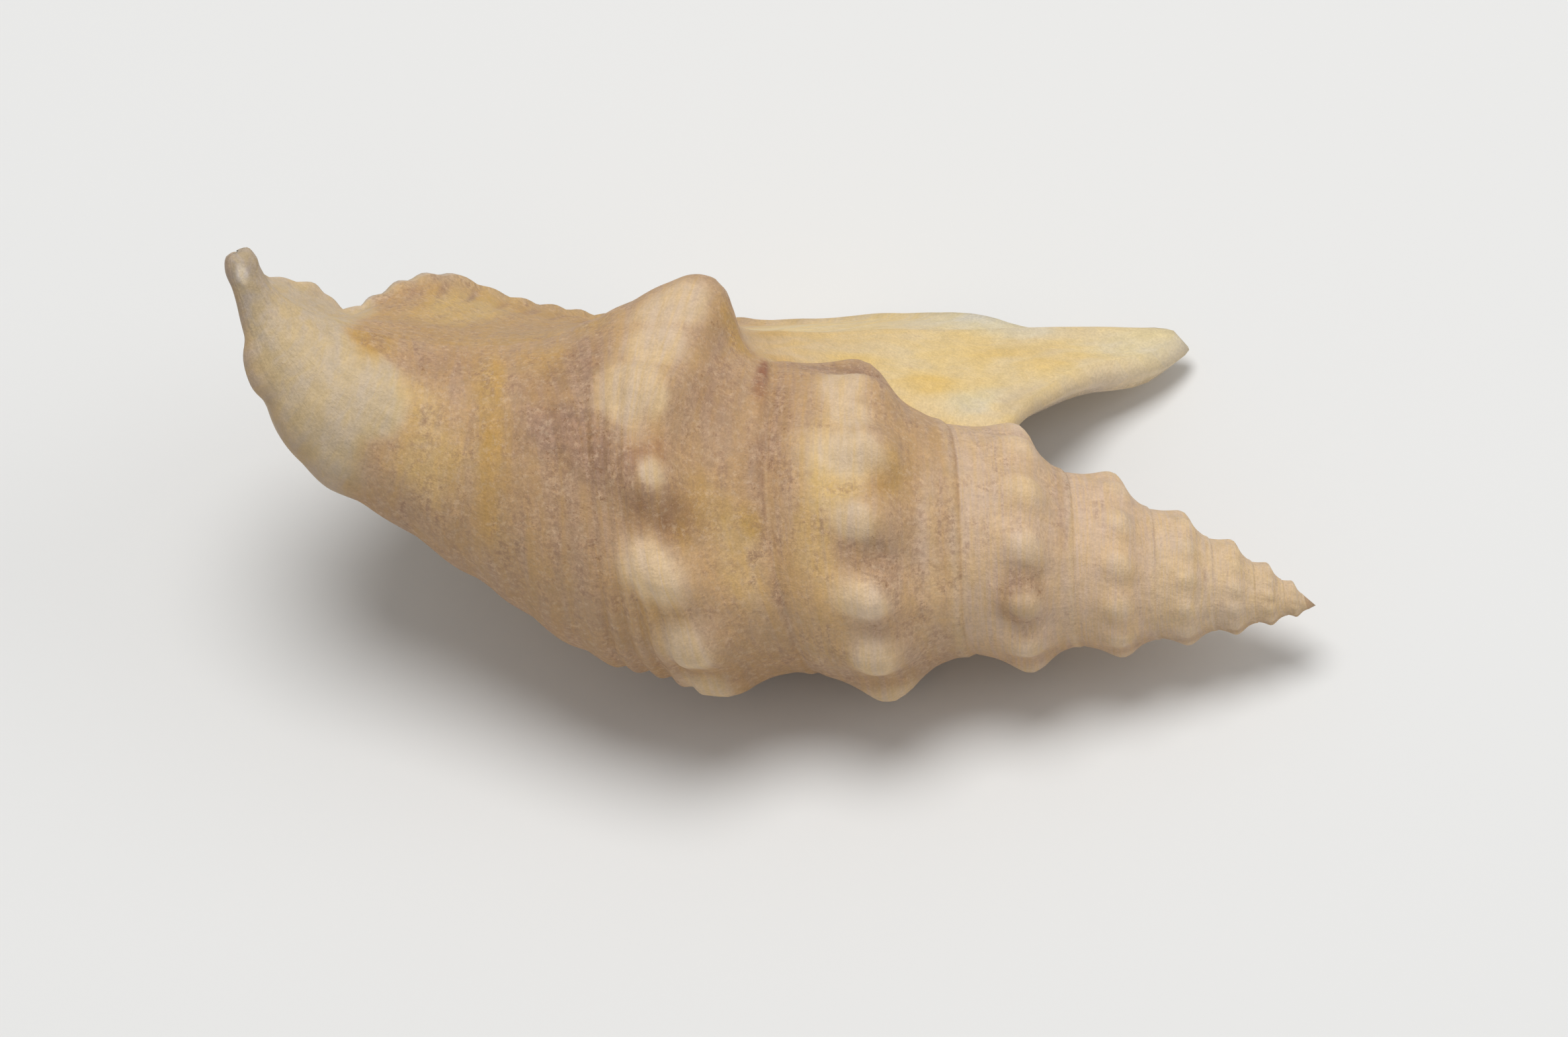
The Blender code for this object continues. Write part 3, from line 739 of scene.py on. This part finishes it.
# Colour marks on the outside: place (t, or 1 + w on the wing), u, their half widths, colour and
# share. Each lies over the ones before it, and the mauve ones are stains that the material mottles;
# the strip at t -0.955 is partly painted shade where the penultimate whorl turns away.
MARKS = (
    (-0.135, 1.85, 0.050, 0.30, MAUVE, 1.00),
    (-0.150, 1.55, 0.040, 0.25, MAUVE, 0.85),
    (-0.050, 1.88, 0.060, 0.20, MAUVE, 0.75),
    (-0.220, 1.85, 0.090, 0.30, MAUVE, 0.45),
    (-0.130, 2.12, 0.040, 0.05, MAUVE, 0.60),
    (-0.055, 0.52, 0.050, 0.35, MAUVE, 0.52),
    (-0.110, 0.55, 0.050, 0.40, MAUVE, 0.34),
    (-0.130, 0.10, 0.060, 0.20, MAUVE, 0.60),
    (0.000, 0.80, 0.025, 0.22, MAUVE, 0.52),
    (-0.030, 2.37, 0.060, 0.10, MAUVE, 0.52),
    (-0.240, 2.28, 0.050, 0.05, MAUVE, 0.35),
    (-0.330, 2.10, 0.060, 0.30, MAUVE, 0.20),
    (0.020, 2.56, 0.050, 0.03, MAUVE, 0.50),
    # Partly painted shade: a dark strip where the penultimate whorl turns away beside the wing.
    (-0.955, 1.30, 0.022, 0.60, MAUVE, 1.00),
    (-0.990, 1.88, 0.030, 0.14, MAUVE, 0.28),
    (-1.070, 1.92, 0.080, 0.14, MAUVE, 0.70),
    (-1.090, 0.45, 0.120, 0.35, MAUVE, 0.12),
    (-1.212, 1.06, 0.034, 0.30, MAUVE, 0.75),
    (-1.290, 0.95, 0.030, 0.30, MAUVE, 0.50),
    (-2.240, 1.05, 0.050, 0.40, MAUVE, 0.75),
    (-2.050, 0.15, 0.150, 0.20, MAUVE, 0.35),
    (-0.080, 2.21, 0.090, 0.045, OCHRE, 0.80),
    (-0.045, 2.26, 0.050, 0.035, OCHRE, 0.45),
    (-0.180, 2.21, 0.100, 0.040, OCHRE, 0.60),
    (-0.200, 2.36, 0.055, 0.100, YELLOW, 0.45),
    (-0.110, 2.42, 0.040, 0.060, YELLOW, 0.40),
    (0.025, 2.57, 0.090, 0.060, OCHRE, 0.90),
    (-0.080, 2.06, 0.040, 0.07, UMBER, 0.40),
    (-0.020, 2.02, 0.045, 0.10, OCHRE, 0.60),
    (0.040, 1.72, 0.030, 0.14, OCHRE, 0.65),
    (0.035, 0.62, 0.014, 0.25, OCHRE, 0.85),
    (-0.190, 0.55, 0.030, 0.22, OCHRE, 0.60),
    (-0.193, 0.18, 0.018, 0.09, OCHRE, 1.00),
    (-0.240, 0.30, 0.060, 0.20, YELLOW, 0.30),
    (-0.280, 1.40, 0.040, 0.35, OCHRE, 0.25),
    (1.500, 2.30, 0.700, 0.27, OCHRE, 0.50),
    (1.200, 2.02, 0.300, 0.20, OCHRE, 0.50),
    (1.500, 1.80, 0.600, 0.20, TAN, 0.60),
    (1.350, 2.42, 0.350, 0.10, MAUVE, 0.25),
    (1.500, 2.15, 0.350, 0.12, MAUVE, 0.28),
    (1.700, 2.42, 0.250, 0.08, YELLOW, 0.60),
    (-0.137, 1.80, 0.026, 0.20, UMBER, 1.00),
    (-0.126, 2.00, 0.020, 0.10, UMBER, 0.85),
    (-0.060, 1.78, 0.018, 0.08, UMBER, 0.35),
    (-2.258, 1.22, 0.030, 0.25, UMBER, 0.55),
    (-1.115, 0.92, 0.030, 0.20, OCHRE, 0.85),
    (-1.120, 1.42, 0.050, 0.26, YELLOW, 0.65),
    (-1.270, 1.60, 0.080, 0.35, OCHRE, 0.25),
    (-1.200, 1.62, 0.050, 0.20, YELLOW, 0.30),
    (-1.170, 0.40, 0.100, 0.12, ROSE, 0.60),
    (-0.194, 1.14, 0.024, 0.42, UMBER, 0.66),
    (-0.210, 0.99, 0.017, 0.18, UMBER, 1.00),
    (-0.214, 0.85, 0.016, 0.10, OCHRE, 0.40),
    (-0.148, 1.60, 0.018, 0.12, RUST, 0.40),
    (-0.140, 1.04, 0.016, 0.16, RUST, 0.70),
    (-0.155, 1.28, 0.015, 0.18, RUST, 0.55),
    (-0.065, 0.60, 0.022, 0.12, RUST, 0.32),
    (-0.003, 0.13, 0.044, 0.08, RUST, 1.00),
    (-1.060, 0.08, 0.080, 0.08, RUST, 0.30),
    (-1.118, 0.98, 0.022, 0.16, UMBER, 0.40),
    (-1.085, 1.05, 0.014, 0.10, RUST, 0.25),
    (-0.219, 2.966, 0.060, 0.018, SCAR, 1.00),
    (1.980, 0.50, 0.120, 0.14, BLUISH, 0.60),
    (-0.080, 0.06, 0.060, 0.05, RUST, 0.25),
    (-2.080, 0.30, 0.100, 0.22, RUST, 0.15),
    (1.290, 0.52, 0.060, 0.10, OCHRE, 0.35),
    (1.300, 0.13, 0.060, 0.06, OCHRE, 0.35),
    (1.530, 0.28, 0.060, 0.05, YELLOW, 0.55),
    (1.700, 0.19, 0.060, 0.06, YELLOW, 0.95),
    (1.770, 0.40, 0.050, 0.06, YELLOW, 0.85),
    (1.890, 0.35, 0.060, 0.05, YELLOW, 0.60),
    (1.830, 0.15, 0.060, 0.05, BLUISH, 0.65),
    (1.750, 0.55, 0.060, 0.05, BLUISH, 0.55),
    (1.950, 0.17, 0.060, 0.05, GREY, 0.35),
)

# Pale spots over the knobs, partly worn and partly painted highlight on their lit sides: t, u and
# half widths
WORN_AND_HIGHLIT = (
    (-0.085, 1.40, 0.034, 0.34),
    (-0.035, 1.25, 0.034, 0.26),
    (0.012, 1.20, 0.020, 0.26),
    (-0.098, 1.06, 0.014, 0.12),
    (-0.166, 1.08, 0.013, 0.15),
    (-0.250, 1.22, 0.030, 0.34),
    (-0.330, 1.14, 0.026, 0.24),
    (-0.410, 1.14, 0.026, 0.24),
    (-1.010, 1.36, 0.036, 0.22),
    (-1.050, 1.25, 0.024, 0.20),
    (-1.100, 1.28, 0.026, 0.34),
    (-1.175, 1.22, 0.018, 0.20),
    (-1.255, 1.20, 0.022, 0.28),
    (-1.330, 1.12, 0.024, 0.26),
)


def regions(t, w, u, canal, on_wing):
    """Tan body, rosy spire, chalky canal with a grey tip, and cream wing with a bluish edge."""
    colour = np.tile(np.array(TAN), (len(t), 1))
    colour = mixed(colour, ROSE, fall(t, -1.85, 0.9) * 0.85)
    colour = mixed(colour, CREAM, fall(t, -4.6, 1.6) * 0.6)
    colour = mixed(colour, CHALK, canal)
    colour = mixed(colour, GREY, rise(u, 2.83, 0.08) * 0.75)
    colour = mixed(colour, WING, on_wing * (0.35 + 0.65 * rise(w, 0.15, 0.55)))
    # Painted shade: the lower side of each whorl, near t mod 1 = 0.60, is darkened with umber.
    colour = mixed(colour, UMBER, 0.35 * bell(np.mod(t, 1.0), 0.60, 0.06) * (w <= 0.0))
    colour = mixed(colour, CREAM, rise(w, 0.93, 0.07) * rise(u, 1.3, 0.3) * 0.6)
    return mixed(colour, BLUISH, rise(w, 0.78, 0.2) * bell(u, 0.95, 0.22) * 0.85)


def marked(colour, place, u, wander, broken):
    """The colours with the marks laid over them, and each point's share of mauve stain."""
    mauve = np.zeros(len(u))
    for at, down, long, wide, tint, share in MARKS:
        along = (place + wander[0] * min(1.0, long / 0.04) - at) / long
        across = (u + wander[1] * min(1.0, wide / 0.30) - down) / wide
        mark = share * smooth(1.35 * np.exp(-(along**2) - across**2))
        if tint is RUST:
            mark = mark * np.clip(0.80 + 0.9 * broken, 0.0, 1.0)
        if tint is UMBER:
            mark = mark * np.clip(0.8 + 0.5 * broken, 0.0, 1.0)
        if tint is MAUVE:
            mauve = np.maximum(mauve, mark)
        else:
            colour = mixed(colour, tint, mark)
    return mixed(colour, ASHEN, 0.7 * mauve), mauve


def worn_and_highlit(t, u, place, wander):
    """1 on the pale knob tips, partly wear and partly painted highlight, and 0 away from them."""
    worn = knob_share(t, wall_level(t, u)) * np.where(u < 1.0, u, fall(u, 1.0, 1.0)) * (t < -1.36)
    worn = rise(worn, 0.2, 0.6)
    for at, down, long, wide in WORN_AND_HIGHLIT:
        along = (place + 0.5 * wander[0] - at) / long
        across = (u + 0.5 * wander[1] - down) / wide
        worn = np.maximum(worn, smooth(1.5 * np.exp(-(along**2 + across**2))))
    return worn


def tints(growth, inside, points):
    """The broad colour of each vertex, and its shares of mottling, specks and glaze."""
    t, w, u = growth.T
    place = np.where(w > 0.0, 1.0 + w, t)
    wander = (0.016 * clouds(points, size=5.0, seed=31), 0.14 * clouds(points, size=6.0, seed=41))
    broken = clouds(points, size=1.9, seed=51)

    pale_from = 2.475 - bump(t, 0.06, -0.15, 0.07) + 0.11 * rise(t, -0.07, 0.08)
    canal = rise(u + 0.06 * clouds(points, size=9.0, seed=21), pale_from, 0.06)
    on_wing = rise(w, 0.0, 0.25) * fall(u, 1.5, 0.5)
    colour = regions(t, w, u, canal, on_wing)
    colour, mauve = marked(colour, place, u, wander, broken)

    # Painted shade: near the lip the grooves between the cords are darkened with ashen colour.
    lip_groove_shade_zone = rise(w, 0.80, 0.10) * fall(w, 0.94, 0.05) * rise(u, 1.8, 0.2) * fall(u, 2.5, 0.1)
    colour = mixed(colour, ASHEN, 0.7 * (lip_groove_shade_zone * smooth(-cord_wave(u, 1.0))))
    # Pale knob tips: partly real wear, partly painted highlight where the light falls on them.
    worn = worn_and_highlit(t, u, place, wander)
    colour = mixed(colour, CREAM, worn * (0.8 - 0.3 * fall(t, -1.6, 0.3)))
    colour = mixed(colour, CREAM, bell(u, 0.10, 0.08) * (t < -0.9) * 0.45)
    suture = bell(u, 0.0, 0.03) * (w <= 0.0) * np.clip(0.75 + 0.6 * broken, 0.0, 1.0)
    colour = mixed(colour, UMBER, suture * 0.5)
    # Painted light: a band at t mod 1 = 0.745, low on the last whorls, is brightened by up to a
    # fifth.
    front = bell(np.mod(t, 1.0), 0.745, 0.035) * (w <= 0.0) * (t > -1.5)
    colour = colour * (1.0 + 0.20 * front * fall(u, 1.6, 0.6))[:, None]
    colour = mixed(colour, GLAZE, inside)

    plain = canal * 0.9 + on_wing + fall(t, -2.5, 0.6) * 0.5
    mottle = np.maximum(mauve, 0.47 * (1.0 - np.clip(plain, 0.0, 1.0))) * (1.0 - 0.85 * worn)
    shares = np.stack([mottle, mauve * (1.0 - worn), inside], -1)
    shares[:, :2] *= (1.0 - inside)[:, None]
    return colour, shares


class Nodes:
    """Short names for building one material's nodes."""

    def __init__(self, material):
        material.use_nodes = True
        self.tree = material.node_tree
        self.shader = self.tree.nodes["Principled BSDF"]

    def put(self, kind, *inputs, **settings):
        """A node of that kind; inputs are (socket, value or output socket)."""
        node = self.tree.nodes.new("ShaderNode" + kind)
        for name, value in settings.items():
            setattr(node, name, value)
        for socket, value in inputs:
            if isinstance(value, bpy.types.NodeSocket):
                self.tree.links.new(value, node.inputs[socket])
            else:
                node.inputs[socket].default_value = value
        return node

    def sum(self, *values):
        """The values added up, from the first to the last."""
        total = values[0]
        for value in values[1:]:
            total = self.put("Math", (0, total), (1, value), operation="ADD").outputs[0]
        return total

    def less(self, value, other):
        """The value less the other."""
        return self.put("Math", (0, value), (1, other), operation="SUBTRACT").outputs[0]

    def times(self, value, other):
        """The two multiplied."""
        return self.put("Math", (0, value), (1, other), operation="MULTIPLY").outputs[0]

    def ramp(self, value, low, high, start=0.0, end=1.0):
        """From start at low to end at high, in an S."""
        node = self.put("MapRange", ("Value", value), ("From Min", low), ("From Max", high),
                        ("To Min", start), ("To Max", end), interpolation_type="SMOOTHSTEP")
        return node.outputs["Result"]

    def noise(self, place, scale, detail=3.0, rough=0.55, warp=0.0):
        """A field of noise from 0 to 1."""
        node = self.put("TexNoise", ("Vector", place), ("Scale", scale), ("Detail", detail),
                        ("Roughness", rough), ("Distortion", warp))
        return node.outputs["Fac"]

    def stretch(self, place, along, down):
        """A place scaled along the growth and down the wall."""
        return self.put("Mapping", ("Vector", place), ("Scale", (along, down, 1.0))).outputs[0]

    def mix(self, share, one, two, blend="MIX"):
        """The colour one with that share of two laid over it."""
        node = self.put("Mix", data_type="RGBA", blend_type=blend)
        for socket, value in ((node.inputs[0], share), (node.inputs[6], one), (node.inputs[7], two)):
            if isinstance(value, bpy.types.NodeSocket):
                self.tree.links.new(value, socket)
            else:
                socket.default_value = value
        return node.outputs[2]

    def link(self, output, name):
        """Feed the shader's input of that name."""
        self.tree.links.new(output, self.shader.inputs[name])


class Grain:
    """The fields of noise that the shell's colour, roughness and bump share."""

    def __init__(self, n, place, growth):
        lengthwise = n.stretch(growth, along=14.0, down=17.0)
        across = n.stretch(growth, along=120.0, down=5.0)
        banded = n.stretch(growth, along=9.0, down=34.0)
        self.broad = n.noise(place, scale=150.0, detail=5.0, rough=0.7, warp=0.5)
        self.blotch = n.noise(place, scale=360.0, detail=4.0, rough=0.65, warp=0.4)
        self.middle = n.noise(place, scale=700.0, detail=4.0, rough=0.7, warp=0.3)
        self.small = n.noise(place, scale=1500.0, detail=4.0, rough=0.75)
        self.fine = n.noise(place, scale=3600.0, detail=2.0, rough=0.6)
        self.streak = n.noise(lengthwise, scale=1.0, detail=4.0, rough=0.65, warp=0.6)
        self.bands = n.noise(banded, scale=1.0, rough=0.6, warp=0.5)
        self.lines = n.noise(across, scale=1.0, rough=0.6, warp=0.4)
        self.flecks = n.noise(place, scale=1300.0, detail=4.0, rough=0.75)
        self.dots = n.noise(place, scale=1150.0, rough=0.7)
        patches = n.sum(n.times(self.blotch, 0.45), n.times(self.middle, 0.25))
        self.uneven = n.less(n.sum(patches, n.times(self.bands, 0.30)), 0.5)


def mottled(n, tint, grain, mottle, specks):
    """The tint, warmer and cooler in bands, with mauve stains and rosy flecks over them."""
    warmth = n.sum(n.times(grain.bands, 0.6), n.times(grain.broad, 0.4))
    hue = n.mix(n.ramp(warmth, 0.36, 0.64), WARM, COOL)
    colour = n.mix(1.0, tint, hue, "MULTIPLY")
    spread = n.ramp(n.sum(mottle, n.times(grain.uneven, 3.0)), 0.14, 1.0)
    stain = n.times(spread, n.ramp(specks, 0.3, 1.0, 0.80, 0.55))
    stain = n.times(stain, n.ramp(grain.small, 0.42, 0.58, 0.25, 1.0))
    colour = n.mix(stain, colour, (*MAUVE, 1.0))
    flecks = n.times(n.ramp(grain.flecks, 0.50, 0.66), n.ramp(mottle, 0.10, 0.50, 0.0, 0.34))
    return n.mix(flecks, colour, (*ROSE, 1.0))


def toned(n, colour, grain, mottle):
    """The colour lightened and darkened a little, in patches, streaks, growth lines and grain."""
    rough_part = n.sum(n.times(mottle, 1.5), 0.25)
    patchy = n.times(grain.uneven, rough_part)
    tone = n.times(n.ramp(grain.streak, 0.25, 0.75, 0.97, 1.03), n.sum(patchy, 1.0))
    tone = n.times(tone, n.ramp(grain.lines, 0.2, 0.8, 0.97, 1.03))
    tone = n.times(tone, n.ramp(grain.middle, 0.3, 0.7, 0.95, 1.04))
    tone = n.times(tone, n.ramp(grain.fine, 0.25, 0.75, 0.91, 1.07))
    grey = n.put("CombineColor", (0, tone), (1, tone), (2, tone)).outputs[0]
    return n.mix(1.0, colour, grey, "MULTIPLY")


def shell_material():
    """Chalky shell: the tints, mottled and speckled, with grain and growth lines in bump."""
    material = bpy.data.materials.new("shell_wall")
    n = Nodes(material)
    place = n.put("TexCoord").outputs["Object"]
    growth = n.put("UVMap", uv_map="growth").outputs["UV"]
    tint = n.put("Attribute", attribute_name="tint").outputs["Color"]
    shares = n.put("Attribute", attribute_name="shares").outputs["Vector"]
    shares = n.put("SeparateXYZ", ("Vector", shares))
    mottle, specks, glaze = shares.outputs[0], shares.outputs[1], shares.outputs[2]
    grain = Grain(n, place, growth)

    colour = mottled(n, tint, grain, mottle, specks)
    colour = toned(n, colour, grain, mottle)
    dots = n.times(n.ramp(grain.dots, 0.56, 0.70), n.ramp(grain.middle, 0.40, 0.58))
    dots = n.times(dots, n.ramp(specks, 0.05, 0.70, 0.14, 0.75))
    colour = n.mix(dots, colour, (*UMBER, 1.0))
    n.link(colour, "Base Color")

    n.shader.inputs["Specular IOR Level"].default_value = 0.3
    chalky = n.ramp(grain.fine, 0.2, 0.8, 0.50, 0.66)
    rough = n.put("Mix", (0, glaze), (2, chalky), (3, 0.24), data_type="FLOAT")
    n.link(rough.outputs[0], "Roughness")

    height = n.sum(n.times(grain.small, 0.07), n.times(grain.fine, 0.03),
                   n.times(grain.middle, 0.12), n.times(grain.lines, 0.05),
                   n.times(grain.streak, 0.09))
    height = n.less(height, n.times(dots, 0.06))
    height = n.times(height, n.less(1.0, n.times(glaze, 0.85)))
    bumps = n.put("Bump", ("Strength", 1.0), ("Distance", MM), ("Height", height))
    n.link(bumps.outputs[0], "Normal")
    return material


def new_mesh(name, points, faces):
    """A smooth-shaded mesh."""
    mesh = bpy.data.meshes.new(name)
    mesh.from_pydata(points, [], faces)
    mesh.polygons.foreach_set("use_smooth", [True] * len(mesh.polygons))
    return mesh


def placed(name, data):
    """A new object in the scene."""
    item = bpy.data.objects.new(name, data)
    bpy.context.scene.collection.objects.link(item)
    return item


def flat_array(values):
    """The values in one row, as Blender takes them."""
    return values.astype(np.float32).ravel()


def growth_map(mesh, corners):
    """Lay the mesh out flat: along the growth, and down the wall."""
    t, w, u = corners.T
    down = RAMP_SHARE * np.clip(u, 0, 1) + SIDE_SHARE * np.clip(u - 1, 0, 1) + np.clip(u - 2, 0, 1)
    flat = np.stack([t + WING_SHARE * w, down], -1)
    mesh.uv_layers.new(name="growth").uv.foreach_set("vector", flat_array(flat))


def shell_piece():
    """The shell as one object, with its colours and its material."""
    skin = grow()
    mesh = new_mesh("conch", settle(skin.points).tolist(), skin.faces)
    growth_map(mesh, np.array(skin.corners))
    colour, shares = tints(np.array(skin.growth), np.array(skin.inside), np.array(skin.points))
    rgba = np.concatenate([colour, np.ones((len(colour), 1))], -1)
    tint = mesh.attributes.new("tint", "FLOAT_COLOR", "POINT")
    tint.data.foreach_set("color", flat_array(rgba))
    parts = mesh.attributes.new("shares", "FLOAT_VECTOR", "POINT")
    parts.data.foreach_set("vector", flat_array(shares))
    mesh.materials.append(shell_material())
    triangles = sum(len(face) - 2 for face in skin.faces)
    print("conch:", len(mesh.vertices), "vertices,", triangles, "triangles")
    return placed("conch", mesh)


def floor():
    """A large pale table that runs up into a backdrop behind the shell."""
    reach, half, turn, top, steps = 4.2, 4.6, 0.35, 1.4, 12
    section = [(-reach, 0.0), (reach, 0.0)]
    for step in range(1, steps + 1):
        angle = math.radians(90.0 * step / steps)
        section.append((reach + turn * math.sin(angle), turn * (1.0 - math.cos(angle))))
    section.append((reach + turn, top))
    points, faces = [], []
    for y, z in section:
        points += [(-half, y, z), (half, y, z)]
    for k in range(len(section) - 1):
        a = 2 * k
        faces.append((a, a + 1, a + 3, a + 2))
    mesh = new_mesh("table", points, faces)
    material = bpy.data.materials.new("table")
    material.use_nodes = True
    shader = material.node_tree.nodes["Principled BSDF"]
    shader.inputs["Base Color"].default_value = TABLE
    shader.inputs["Roughness"].default_value = 0.85
    mesh.materials.append(material)
    table = placed("table", mesh)


def lamp(name, spot, size, power):
    """A round lamp that points at the shell."""
    data = bpy.data.lights.new(name, "AREA")
    data.shape = "DISK"
    data.size = size
    data.energy = power
    item = placed(name, data)
    item.location = spot
    item.rotation_euler = (Vector(AIM) - Vector(spot)).to_track_quat("-Z", "Y").to_euler()


def light():
    """A soft key from above, a weak fill from beyond the spire, and a white world."""
    lamp("key", (-0.05, 0.12, 1.20), size=0.7, power=9.6)
    lamp("fill", (0.95, 0.10, 0.60), size=0.7, power=1.6)
    world = bpy.data.worlds.new("studio")
    bpy.context.scene.world = world
    world.use_nodes = True
    back = world.node_tree.nodes["Background"]
    back.inputs["Color"].default_value = (1.0, 1.0, 1.0, 1.0)
    back.inputs["Strength"].default_value = 0.38


def camera():
    """Looks down on the knobbed back through a long lens, and turns with the shell as it lies."""
    lean, turn = math.radians(CAMERA_LEAN), math.radians(CAMERA_TURN)
    toward = Vector((0.0, -math.cos(lean), math.sin(lean)))
    down_back = Vector((0.0, math.sin(lean), math.cos(lean)))
    ahead = Vector((1.0, 0.0, 0.0))
    right = lie() @ (math.cos(turn) * ahead + math.sin(turn) * down_back)
    up = lie() @ (-math.sin(turn) * ahead + math.cos(turn) * down_back)
    toward = lie() @ toward
    apex = Vector(settle([(0.0, 0.0, 0.0)])[0])
    middle = apex - right * APEX_RIGHT * MM + up * APEX_BELOW * MM
    middle = middle - toward * (middle - Vector(AIM)).dot(toward)
    turned = Matrix((right, up, toward)).transposed().to_4x4()
    turned.translation = middle + toward * FRAME_WIDTH * MM * LENS / SENSOR
    data = bpy.data.cameras.new("camera")
    data.lens = LENS
    data.sensor_width = SENSOR
    data.clip_start = 0.05
    item = placed("camera", data)
    item.matrix_world = turned
    bpy.context.scene.camera = item


def main():
    bpy.context.scene.view_settings.view_transform = "Standard"
    camera()
    light()
    floor()
    shell = shell_piece()
    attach(shell, "root")
    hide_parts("shell")


main()
